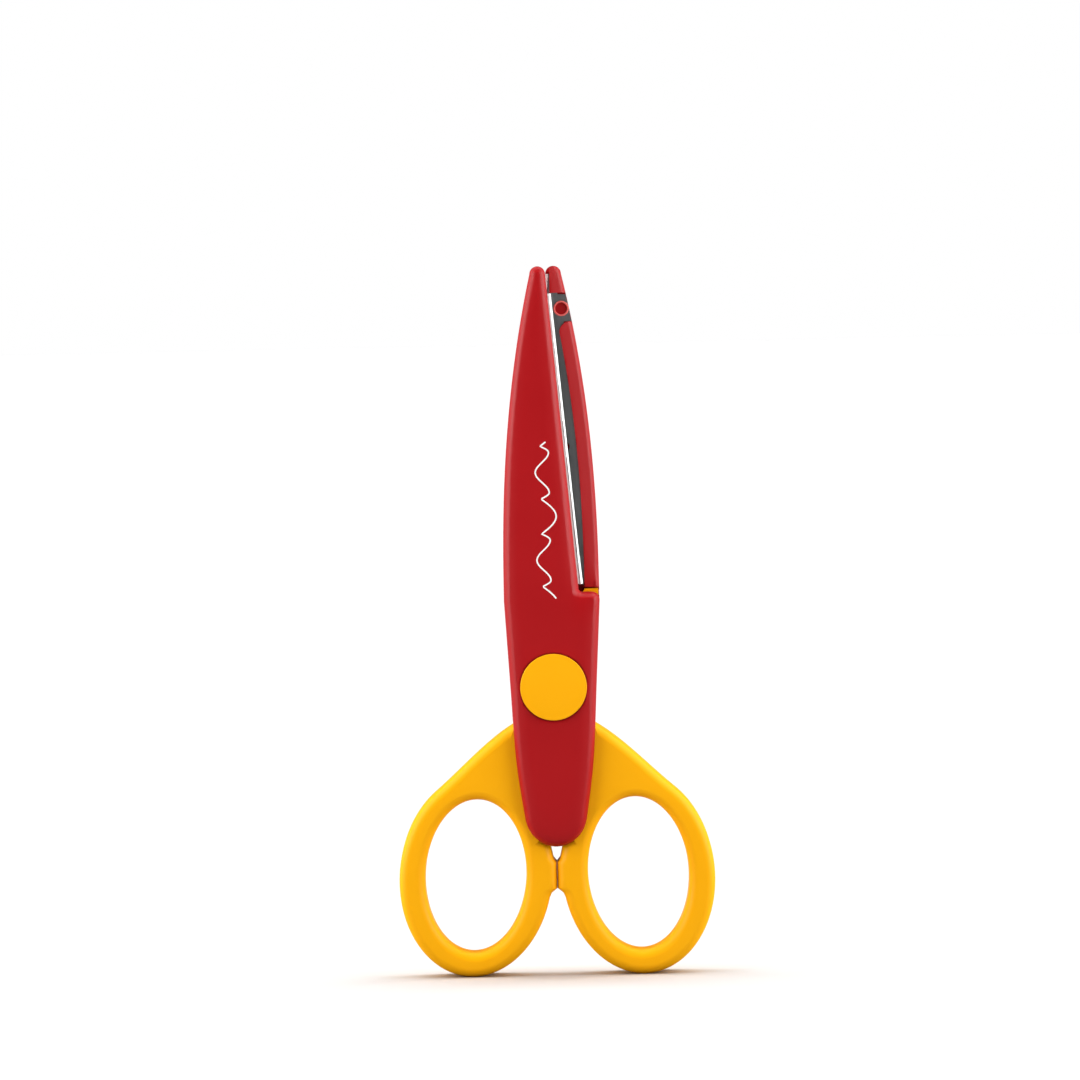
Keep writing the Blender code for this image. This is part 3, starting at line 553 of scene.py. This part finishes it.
def makeBlade(name, side):  # side is 1 or -1, for the two waves that mesh
    under = cover["wall"] + cover["clear"]
    bottom, top = cover["windowBottom"], cover["windowTop"] - cover["clear"]
    tilt = math.atan2(blade["edgeAtHeel"] - blade["edgeAtTip"], blade["end"] - blade["heel"])
    across = Vector((math.cos(tilt), math.sin(tilt)))  # square to the cutting edge
    along = Vector((-math.sin(tilt), math.cos(tilt)))
    foot = across.dot(Vector((edgeX(0), 0)))  # from the pivot to the cutting edge
    low = along.dot(Vector((edgeX(blade["heel"]), blade["heel"])))
    high = along.dot(Vector((edgeX(blade["end"]), blade["end"])))
    inside = blade["flange"] / 2 / math.cos(tilt)
    jog = 0.02  # the web's back steps out and in again at the window
    web = (spine(blade["heel"], bottom, under, 24) + spine(bottom + jog, top - jog, 0.1, 6)
           + spine(top, blade["top"], under, 4) + [(0, blade["top"]), (0, blade["end"])]
           + [(edgeX(blade["end"]) - inside, blade["end"]), (edgeX(blade["heel"]) - inside, blade["heel"])])
    piece = drawPlate(name, web, blade["inner"], blade["outer"])

    # the flange is drawn lying down, x for its length and z for its depth, the wave along one side
    step = 0.25
    count = round((high - low) / step)
    lengths = [low + (high - low) * k / count for k in range(count + 1)]
    free = [(s, blade["shearGap"] / 2 - side * wave(math.hypot(foot, s))) for s in lengths]
    flange = drawPlate("flange", free + [(high, blade["outer"]), (low, blade["outer"])], 0, blade["flange"])
    # stood up along the edge: length to z, drawn height to depth, thickness inwards from the edge
    stand = Matrix(((along.x, across.x, 0), (0, 0, -1), (along.y, across.y, 0)))
    flange.matrix_world = (Matrix.Translation(Vector((across.x, 0, across.y)) * foot * mm)
                           @ stand.to_4x4())
    settle(flange)
    onlySelected(flange)
    bpy.ops.object.mode_set(mode="EDIT")
    bpy.ops.mesh.select_all(action="SELECT")
    bpy.ops.mesh.normals_make_consistent(inside=False)
    bpy.ops.object.mode_set(mode="OBJECT")
    combine(piece, flange, "UNION")
    tidyMesh(piece)
    pick(piece, "EDGE", lambda ends: all(
        p.y < 0.02 - blade["outer"] and abs(p.x - edgeX(p.z)) < 0.05 for p in ends))
    bpy.ops.mesh.bevel(offset=blade["fold"] * mm, segments=6, profile=0.32)
    bpy.ops.object.mode_set(mode="OBJECT")
    for spot in bladePins().values():
        combine(piece, bar("pinHole", blade["pinHole"], 1, 4, spot, 32), "DIFFERENCE")
    tidyMesh(piece, 0.02)
    softenEdges(piece, 0.05, 50, 1)
    smoothFaces(piece)
    # the fold is ground along the cut and painted near white there: ground steel, plus a painted highlight
    # for the light the fold catches
    onlySelected(piece)
    bpy.ops.object.mode_set(mode="EDIT")
    inwards = Vector((across.x, 0, across.y))
    start = Vector((edgeX(blade["heel"]), 0, blade["heel"])) - inwards * blade["groundAndGlint"]
    sliceMesh(start * mm, inwards)
    bpy.ops.object.mode_set(mode="OBJECT")
    groundAndGlint = piece.data.attributes.new("groundAndGlint", "FLOAT", "FACE")
    for face in piece.data.polygons:
        spot = face.center / mm
        onFold = spot.y < blade["fold"] - blade["outer"] + 0.1 and spot.x > edgeX(spot.z) - blade["groundAndGlint"]
        groundAndGlint.data[face.index].value = float(onFold and blade["heel"] - 0.1 < spot.z < blade["end"] + 0.1)
    return piece


cap = {"radius": 6.3, "under": 6.1, "top": 6.9, "crisp": 0.12, "dome": 0.10, "domeShare": 0.955,
       "chamfer": 0.1, "peg": 0.9, "pegEnd": 3.2}


def makeCap():  # a slightly domed disc on a peg
    radius, under, chamfer, peg = cap["radius"], cap["under"], cap["chamfer"], cap["peg"]
    below = [(0, cap["pegEnd"]), (peg, cap["pegEnd"]), (peg, under),
             (radius - chamfer, under), (radius, under + chamfer)]
    rim = arc((radius - cap["crisp"], cap["top"] - cap["dome"] - cap["crisp"]), cap["crisp"], 0, 84, 5)
    outwards = [1 - k / 10 for k in range(11)]
    sweep = [(radius * cap["domeShare"] * t, cap["top"] - cap["dome"] * t ** 2) for t in outwards]
    piece = turn("frontCap", below + rim + sweep, steps=160)
    smoothFaces(piece, 40)
    return piece


pin = {"radius": 1.0, "head": 1.46, "height": 0.42, "dish": 1.16, "dishDeep": 0.2, "end": 4.15,
       "rimRound": 0.12, "dishRound": 0.06}


def makeTipPin():  # a pin with a rolled head on the blade's inner side
    under = blade["inner"] - 0.2
    top = under - pin["height"]
    rimRound, dishRound = pin["rimRound"], pin["dishRound"]
    profile = [(0, pin["end"]), (pin["radius"], pin["end"]), (pin["radius"], under), (pin["head"], under)]
    profile += arc((pin["head"] - rimRound, top + rimRound), rimRound, 0, -90, 5)
    profile += arc((pin["dish"] + dishRound, top + dishRound), dishRound, -90, -180, 3)
    profile += [(pin["dish"] - 0.05, top + pin["dishDeep"]), (0, top + pin["dishDeep"] + 0.03)]
    piece = turn("frontTipPin", profile, bladePins()["tip"], 64)
    smoothFaces(piece, 40)
    # the rolled rim is painted a paler red: a painted highlight along the rim
    x, z = bladePins()["tip"]
    paintedRimHighlight = piece.data.attributes.new("paintedRimHighlight", "FLOAT", "POINT")
    for spot in piece.data.vertices:
        radius = math.hypot(spot.co.x / mm - x, spot.co.z / mm - z)
        paintedRimHighlight.data[spot.index].value = float(pin["dish"] - 0.02 < radius and spot.co.y / mm > -under - touch)
    return piece


line = {"bottom": 16.8, "top": 46.5, "middle": -0.75, "hump": 32.4, "half": 0.14, "proud": 0.02,
        "steps": 150}


def makePrintedLine(onto):  # the cut's own wave, printed as the sign of the pattern
    count, inFront = line["steps"], -9
    heights = [line["bottom"] + (line["top"] - line["bottom"]) * k / count for k in range(count + 1)]
    spots = [Vector((line["middle"] + wave(z - line["hump"]), z)) for z in heights]
    sides = ([], [])
    for k, spot in enumerate(spots):
        ahead = (spots[min(k + 1, count)] - spots[max(k - 1, 0)]).normalized()
        across = Vector((-ahead.y, ahead.x)) * line["half"]
        for side, spot in zip(sides, (spot + across, spot - across)):
            side.append((spot.x, inFront, spot.y))
    nothingSelected()
    stroke(sides[0])
    ribbon = bpy.context.object
    ribbon.name = "printedLine"
    stroke(sides[1])
    bpy.ops.mesh.select_all(action="SELECT")
    bpy.ops.mesh.bridge_edge_loops()
    settle(ribbon)
    press = ribbon.modifiers.new("press", "SHRINKWRAP")
    press.target = onto
    press.wrap_method = "PROJECT"
    press.use_project_y = True
    press.use_positive_direction = True
    applyAll(ribbon)
    onlySelected(ribbon)
    bpy.ops.object.mode_set(mode="EDIT")
    bpy.ops.mesh.select_all(action="SELECT")
    thicken(0, line["proud"])
    settle(ribbon)
    smoothFaces(ribbon)
    return ribbon


def finishPiece(piece, body, replaced):  # moves it to the pivot and says what it is
    nothingSelected()
    piece.location = pivot
    settle(piece)
    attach(piece, body)
    if replaced:
        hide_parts(replaced)


def turnedCopy(piece, name):
    twin = piece.copy()
    twin.data = piece.data.copy()
    twin.name = twin.data.name = name
    bpy.context.scene.collection.objects.link(twin)
    turnRound(twin)
    return twin


def turnRound(piece):  # the rear arm is the front one, half a turn about the long axis
    piece.rotation_euler = (0, 0, math.pi)
    settle(piece)


made = {}
made["frontCover"] = makeCover()
print("stage: cover modelled")
made["frontHandle"] = makeHandle()
print("stage: handle modelled")
made["frontBlade"] = makeBlade("frontBlade", 1)
made["rearBlade"] = makeBlade("rearBlade", -1)
turnRound(made["rearBlade"])
print("stage: blades modelled")
made["frontCap"] = makeCap()
made["frontTipPin"] = makeTipPin()
printedLine = makePrintedLine(made["frontCover"])
for part in ("Cover", "Handle", "Cap", "TipPin"):
    made["rear" + part] = turnedCopy(made["front" + part], "rear" + part)
print("stage: cap and pins modelled")

slots = {"Cover": ("red_plastic", "body"), "Handle": ("yellow_plastic", "handle"),
         "Blade": ("blade_steel", "blade"), "Cap": ("yellow_plastic", "pivot_cap"),
         "TipPin": ("red_plastic", "tip_pin")}
for arm in ("front", "rear"):
    for part, (slot, node) in slots.items():
        finishPiece(made[arm + part], f"{arm}_arm", f"{arm}_{node}")
finishPiece(printedLine, "front_arm", None)
print("stage: arms assembled")


def newGroup(name, inputs, outputs):
    group = bpy.data.node_groups.new(name, "ShaderNodeTree")
    for label, kind, value in inputs:
        socket = group.interface.new_socket(name=label, in_out="INPUT", socket_type=kind)
        if value is not None:
            socket.default_value = value
    for label, kind in outputs:
        group.interface.new_socket(name=label, in_out="OUTPUT", socket_type=kind)
    return group, Shelf(group)


class Shelf:  # adds nodes to a tree and wires them
    def __init__(self, tree):
        self.tree = tree

    def add(self, kind, settings=None, **inputs):  # i0, i1 ... are sockets by number
        node = self.tree.nodes.new(kind)
        for key, value in (settings or {}).items():
            setattr(node, key, value)
        for key, value in inputs.items():
            self.feed(node.inputs[int(key[1:]) if key[0] == "i" and key[1:].isdigit() else key], value)
        return node

    def feed(self, socket, value):
        if isinstance(value, bpy.types.NodeSocket):
            self.tree.links.new(value, socket)
        else:
            socket.default_value = value


def mouldedGroup():  # fine moulded skin, slow colour drift and faint handling scratches
    group, on = newGroup(
        "mouldedSkin",
        [("Vector", "NodeSocketVector", None), ("Grain Size", "NodeSocketFloat", 2600.0),
         ("Drift Size", "NodeSocketFloat", 70.0), ("Scratch Size", "NodeSocketFloat", 260.0)],
        [("Height", "NodeSocketFloat"), ("Drift", "NodeSocketFloat"), ("Scratches", "NodeSocketFloat")],
    )
    given = on.add("NodeGroupInput")
    put = on.add("NodeGroupOutput")
    grain = on.add("ShaderNodeTexNoise", Vector=given.outputs["Vector"], Scale=given.outputs["Grain Size"],
                   Detail=3.0, Roughness=0.55)
    drift = on.add("ShaderNodeTexNoise", Vector=given.outputs["Vector"], Scale=given.outputs["Drift Size"],
                   Detail=2.0, Roughness=0.5)
    lengthened = on.add("ShaderNodeVectorMath", {"operation": "MULTIPLY"}, i0=given.outputs["Vector"],
                        i1=(6.0, 6.0, 0.35))
    hairs = on.add("ShaderNodeTexNoise", Vector=lengthened.outputs["Vector"],
                   Scale=given.outputs["Scratch Size"], Detail=1.0, Roughness=0.4, Distortion=0.6)
    thin = on.add("ShaderNodeMapRange", {"interpolation_type": "SMOOTHSTEP"}, Value=hairs.outputs["Fac"],
                  **{"From Min": 0.70, "From Max": 0.76})
    on.feed(put.inputs["Height"], grain.outputs["Fac"])
    on.feed(put.inputs["Drift"], drift.outputs["Fac"])
    on.feed(put.inputs["Scratches"], thin.outputs["Result"])
    return group


def rolledGroup():  # grain of rolled and ground sheet, drawn out along the blade
    group, on = newGroup(
        "rolledSteel",
        [("Vector", "NodeSocketVector", None), ("Line Size", "NodeSocketFloat", 900.0),
         ("Cloud Size", "NodeSocketFloat", 120.0)],
        [("Height", "NodeSocketFloat"), ("Lines", "NodeSocketFloat"), ("Clouds", "NodeSocketFloat")],
    )
    given = on.add("NodeGroupInput")
    put = on.add("NodeGroupOutput")
    lengthened = on.add("ShaderNodeVectorMath", {"operation": "MULTIPLY"}, i0=given.outputs["Vector"],
                        i1=(8.0, 8.0, 0.25))
    lines = on.add("ShaderNodeTexNoise", Vector=lengthened.outputs["Vector"],
                   Scale=given.outputs["Line Size"], Detail=4.0, Roughness=0.6)
    clouds = on.add("ShaderNodeTexNoise", Vector=given.outputs["Vector"], Scale=given.outputs["Cloud Size"],
                    Detail=3.0, Roughness=0.6)
    on.feed(put.inputs["Height"], lines.outputs["Fac"])
    on.feed(put.inputs["Lines"], lines.outputs["Fac"])
    on.feed(put.inputs["Clouds"], clouds.outputs["Fac"])
    return group


mouldedSkin = mouldedGroup()
rolledSteel = rolledGroup()


def startMaterial(name):
    material = bpy.data.materials.new(name)
    material.use_nodes = True
    on = Shelf(material.node_tree)
    shader = material.node_tree.nodes["Principled BSDF"]
    place = on.add("ShaderNodeTexCoord").outputs["Object"]
    return material, on, shader, place


skinDepth, rolledDepth = 0.00004, 0.00002  # how deep the two bumps are, in metres


def roughRange(on, value, middle, spread):  # roughness that wanders round a middle value
    return on.add("ShaderNodeMapRange", Value=value,
                  **{"From Min": 0.3, "From Max": 0.7, "To Min": middle - spread, "To Max": middle + spread})


def plasticFinish(name, look):
    material, on, shader, place = startMaterial(name)
    skin = on.add("ShaderNodeGroup", {"node_tree": mouldedSkin}, Vector=place,
                  **{"Grain Size": look["grainSize"], "Drift Size": look["driftSize"]})
    colour = on.add("ShaderNodeMix", {"data_type": "RGBA"}, Factor=skin.outputs["Drift"])
    colour.inputs[6].default_value = (*look["deep"], 1)
    colour.inputs[7].default_value = (*look["light"], 1)
    # painted highlight: the colour turns paler on the tip pins' rolled rims, where their mask attribute is
    # set
    pressed = on.add("ShaderNodeAttribute", {"attribute_name": "paintedRimHighlight"})
    withRimHighlight = on.add("ShaderNodeMix", {"data_type": "RGBA"}, Factor=pressed.outputs["Fac"],
                   i6=colour.outputs[2])
    withRimHighlight.inputs[7].default_value = (*look["pressed"], 1)
    rough = roughRange(on, skin.outputs["Drift"], look["rough"], 0.03)
    scuffed = on.add("ShaderNodeMath", {"operation": "MULTIPLY_ADD"}, i0=skin.outputs["Scratches"],
                     i1=look["scuff"], i2=rough.outputs["Result"])
    bump = on.add("ShaderNodeBump", Height=skin.outputs["Height"], Strength=look["bump"],
                  Distance=skinDepth)
    on.feed(shader.inputs["Base Color"], withRimHighlight.outputs[2])
    on.feed(shader.inputs["Roughness"], scuffed.outputs[0])
    on.feed(shader.inputs["Normal"], bump.outputs["Normal"])
    shader.inputs["IOR"].default_value = look["ior"]
    shader.inputs["Specular IOR Level"].default_value = look["shine"]
    return material


def steelFinish(name, look):
    material, on, shader, place = startMaterial(name)
    sheet = on.add("ShaderNodeGroup", {"node_tree": rolledSteel}, Vector=place,
                   **{"Line Size": look["lineSize"], "Cloud Size": look["cloudSize"]})
    lineShare = 0.6
    lines = on.add("ShaderNodeMath", {"operation": "MULTIPLY"}, i0=sheet.outputs["Lines"], i1=lineShare)
    both = on.add("ShaderNodeMath", {"operation": "MULTIPLY_ADD"}, i0=sheet.outputs["Clouds"],
                  i1=1 - lineShare, i2=lines.outputs[0])
    colour = on.add("ShaderNodeMix", {"data_type": "RGBA"}, Factor=both.outputs[0])
    colour.inputs[6].default_value = (*look["dark"], 1)
    colour.inputs[7].default_value = (*look["bright"], 1)
    rough = roughRange(on, both.outputs[0], look["rough"], 0.06)
    # the fold's strip is painted near white: partly ground steel, partly a painted highlight
    groundAndGlint = on.add("ShaderNodeAttribute", {"attribute_name": "groundAndGlint"})
    lighter = on.add("ShaderNodeMix", {"data_type": "RGBA"}, Factor=groundAndGlint.outputs["Fac"],
                     i6=colour.outputs[2])
    lighter.inputs[7].default_value = (*look["groundAndGlint"], 1)
    duller = on.add("ShaderNodeMix", {"data_type": "FLOAT"}, Factor=groundAndGlint.outputs["Fac"],
                    A=rough.outputs["Result"], B=look["groundRough"])
    bump = on.add("ShaderNodeBump", Height=sheet.outputs["Height"], Strength=look["bump"],
                  Distance=rolledDepth)
    on.feed(shader.inputs["Base Color"], lighter.outputs[2])
    on.feed(shader.inputs["Roughness"], duller.outputs["Result"])
    on.feed(shader.inputs["Normal"], bump.outputs["Normal"])
    shader.inputs["Metallic"].default_value = 1.0
    return material


# the third tone of each look is a painted highlight, mixed in on the tip pins' rolled rims
redLook = {"deep": (0.35, 0.004, 0.006), "light": (0.41, 0.006, 0.009), "pressed": (0.90, 0.16, 0.14),
           "rough": 0.36, "scuff": 0.10, "bump": 0.25, "grainSize": 2400.0, "driftSize": 60.0,
           "ior": 1.49, "shine": 0.2}
yellowLook = {"deep": (0.93, 0.405, 0.002), "light": (0.97, 0.44, 0.004), "pressed": (0.97, 0.6, 0.1),
              "rough": 0.38, "scuff": 0.10, "bump": 0.25, "grainSize": 2400.0, "driftSize": 60.0,
              "ior": 1.49, "shine": 0.1}
nylonLook = {"deep": (0.70, 0.68, 0.62), "light": (0.80, 0.78, 0.72), "pressed": (0.85, 0.84, 0.8),
             "rough": 0.45, "scuff": 0.05, "bump": 0.2, "grainSize": 3000.0, "driftSize": 90.0,
             "ior": 1.53, "shine": 0.5}
inkLook = {"deep": (0.88, 0.88, 0.86), "light": (0.94, 0.94, 0.93), "pressed": (0.94, 0.94, 0.93),
           "rough": 0.5, "scuff": 0.1, "bump": 0.3, "grainSize": 5000.0, "driftSize": 200.0,
           "ior": 1.49, "shine": 0.2}
# the fold's tone is near white: ground steel, brightened further as a painted highlight on the fold
bladeLook = {"dark": (0.20, 0.205, 0.21), "bright": (0.42, 0.425, 0.43), "groundAndGlint": (0.93, 0.95, 0.94),
             "rough": 0.34, "groundRough": 0.75, "bump": 0.3, "lineSize": 900.0, "cloudSize": 120.0}
zincLook = {"dark": (0.55, 0.56, 0.58), "bright": (0.75, 0.76, 0.78), "groundAndGlint": (0.93, 0.95, 0.94),
            "rough": 0.30, "groundRough": 0.75, "bump": 0.15, "lineSize": 500.0, "cloudSize": 300.0}

finishes = {
    "red_plastic": plasticFinish("redPlastic", redLook),
    "yellow_plastic": plasticFinish("yellowPlastic", yellowLook),
    "nylon": plasticFinish("naturalNylon", nylonLook),
    "blade_steel": steelFinish("bladeSteel", bladeLook),
    "zinc_plate": steelFinish("zincPlate", zincLook),
}


def dress(piece, finish):
    piece.data.materials.clear()
    piece.data.materials.append(finish)


for arm in ("front", "rear"):
    for part, (slot, _) in slots.items():
        dress(made[arm + part], finishes[slot])
dress(printedLine, plasticFinish("whiteInk", inkLook))
slotOfNode = {sub["node"]: sub["material_slot"] for sub in frame["record"]["subparts"]}
for node, obj in frame["nodes"].items():
    for place in obj.material_slots:
        place.material = finishes[slotOfNode[node]]
print("stage: finishes made")


studio = {  # in metres, degrees and watts
    "lens": 200.0, "distance": 1.142, "elevation": 3.0, "roll": 1.17, "lookAt": (-0.002, 0.0, 0.083),
    "airAhead": 0.08, "airAside": 0.70, "sun": 1.15, "sunSpread": 0.6, "sunAhead": 0.15, "sunAngle": 50,
    "boxes": 4.3, "boxDepth": -0.24, "rimBoxes": 1.6, "rimBoxDepth": 0.03, "boxAside": 0.5,
    "boxHeight": 0.12, "boxWide": 0.3, "boxTall": 0.7, "boxAim": (0, 0, 0.07),
    "floor": 12, "floorTone": (0.92, 0.95), "floorBounce": 0.40,
}


def makeStudio():
    nothingSelected()
    bpy.ops.mesh.primitive_plane_add(size=studio["floor"])
    floor = bpy.context.object
    floor.name = "floor"
    material, on, shader, place = startMaterial("paleFloor")
    haze = on.add("ShaderNodeTexNoise", Vector=place, Scale=3.0, Detail=2.0)
    low, high = studio["floorTone"]
    tone = on.add("ShaderNodeMapRange", Value=haze.outputs["Fac"], **{"To Min": low, "To Max": high})
    seen = on.add("ShaderNodeLightPath").outputs["Is Camera Ray"]
    shade = on.add("ShaderNodeMix", {"data_type": "FLOAT"}, Factor=seen, A=studio["floorBounce"],
                   B=tone.outputs["Result"])
    on.feed(shader.inputs["Base Color"], shade.outputs["Result"])
    shader.inputs["Roughness"].default_value = 0.9
    floor.data.materials.append(material)

    scene = bpy.context.scene
    scene.view_settings.view_transform = "Standard"
    scene.view_settings.look = "None"
    world = bpy.data.worlds.new("studioAir")
    scene.world = world
    world.use_nodes = True
    on = Shelf(world.node_tree)
    background = world.node_tree.nodes["Background"]
    toward = on.add("ShaderNodeSeparateXYZ", Vector=on.add("ShaderNodeTexCoord").outputs["Generated"])
    aside = on.add("ShaderNodeMath", {"operation": "ABSOLUTE"}, i0=toward.outputs["X"])
    air = on.add("ShaderNodeMapRange", {"interpolation_type": "SMOOTHSTEP"}, Value=aside.outputs[0],
                 **{"From Min": 0.45, "From Max": 0.85, "To Min": studio["airAhead"],
                    "To Max": studio["airAside"]})
    seen = on.add("ShaderNodeLightPath").outputs["Is Camera Ray"]
    level = on.add("ShaderNodeMix", {"data_type": "FLOAT"}, Factor=seen, A=air.outputs["Result"], B=1.0)
    on.feed(background.inputs["Strength"], level.outputs["Result"])
    background.inputs["Color"].default_value = (1, 1, 1, 1)

    def light(name, kind, place, target, energy, settings):
        lamp = bpy.data.lights.new(name, kind)
        lamp.energy = energy
        for key, value in settings.items():
            setattr(lamp, key, value)
        holder = bpy.data.objects.new(name, lamp)
        scene.collection.objects.link(holder)
        holder.location = place
        holder.rotation_mode = "QUATERNION"
        holder.rotation_quaternion = (Vector(target) - Vector(place)).to_track_quat("-Z", "Y")
        return holder

    scissorsOnly = bpy.data.collections.new("scissorsOnly")  # the boxes leave the floor to the suns
    for piece in [*made.values(), printedLine, *frame["nodes"].values()]:
        scissorsOnly.objects.link(piece)

    wide = {"angle": math.radians(studio["sunAngle"])}
    for name, lean in (("leftSun", -1), ("topSun", 0), ("rightSun", 1)):
        place = (lean * studio["sunSpread"], studio["sunAhead"], 1)
        light(name, "SUN", place, (0, 0, 0), studio["sun"], wide)
    box = {"shape": "RECTANGLE", "size": studio["boxWide"], "size_y": studio["boxTall"]}
    for side, x in (("left", -studio["boxAside"]), ("right", studio["boxAside"])):
        for name, y, energy in (("Box", studio["boxDepth"], studio["boxes"]),
                                ("RimBox", studio["rimBoxDepth"], studio["rimBoxes"])):
            place = (x, y, studio["boxHeight"])
            holder = light(side + name, "AREA", place, studio["boxAim"], energy, box)
            holder.light_linking.receiver_collection = scissorsOnly

    aim = Vector(studio["lookAt"])
    rise = math.radians(studio["elevation"])
    back = Vector((0, -math.cos(rise), math.sin(rise)))
    camera = bpy.data.cameras.new("camera")
    camera.lens = studio["lens"]
    camera.sensor_width = 36
    holder = bpy.data.objects.new("camera", camera)
    scene.collection.objects.link(holder)
    holder.location = aim + back * studio["distance"]
    holder.rotation_mode = "QUATERNION"
    turn = (-back).to_track_quat("-Z", "Y")
    holder.rotation_quaternion = turn @ Matrix.Rotation(math.radians(-studio["roll"]), 3, "Z").to_quaternion()
    scene.camera = holder


makeStudio()
print("stage: studio lit")
